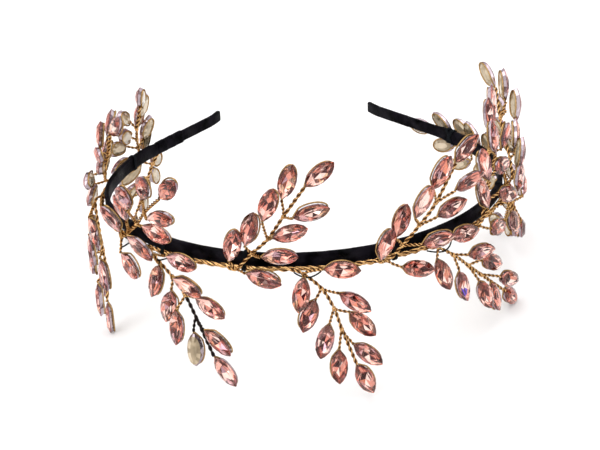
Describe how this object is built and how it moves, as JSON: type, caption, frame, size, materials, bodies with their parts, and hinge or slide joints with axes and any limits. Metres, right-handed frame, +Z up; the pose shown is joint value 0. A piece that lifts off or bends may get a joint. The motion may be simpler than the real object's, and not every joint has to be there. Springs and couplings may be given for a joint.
{
  "type": "crystal headband",
  "caption": "Narrow satin covered headband with a gold wire vine of leafy sprigs that carry pointed oval pink crystals.",
  "frame": {"origin": "on the table under the middle of the object's box", "axes": "+X to the wearer's left, towards the arm end on the right of the picture, +Y from the front of the band to its arm ends, +Z up from the table"},
  "size_m": [0.1628, 0.1432, 0.0879],
  "materials": {
    "black_satin": "satin ribbon wound over a thin strip",
    "black_thread": "matt sewing thread",
    "gold_wire": "twisted pale gold wire, darker in the hollows",
    "crystal": "cut glass on a champagne foil back, polished"
  },
  "bodies": {
    "root": {"band": "black_satin", "left_wrap": "black_satin", "vine": "gold_wire", "thread_ties": "black_thread", "up_1_wires": "gold_wire", "up_1_stones": "crystal", "up_2_wires": "gold_wire", "up_2_stones": "crystal", "up_3_wires": "gold_wire", "up_3_stones": "crystal", "up_4_wires": "gold_wire", "up_4_stones": "crystal", "up_5_wires": "gold_wire", "up_5_stones": "crystal", "up_6_wires": "gold_wire", "up_6_stones": "crystal", "up_7_wires": "gold_wire", "up_7_stones": "crystal", "up_8_wires": "gold_wire", "up_8_stones": "crystal", "down_1_wires": "gold_wire", "down_1_stones": "crystal", "down_2_wires": "gold_wire", "down_2_stones": "crystal", "down_3_wires": "gold_wire", "down_3_stones": "crystal", "down_4_wires": "gold_wire", "down_4_stones": "crystal", "down_5_wires": "gold_wire", "down_5_stones": "crystal", "down_6_wires": "gold_wire", "down_6_stones": "crystal"}
  },
  "joints": []
}
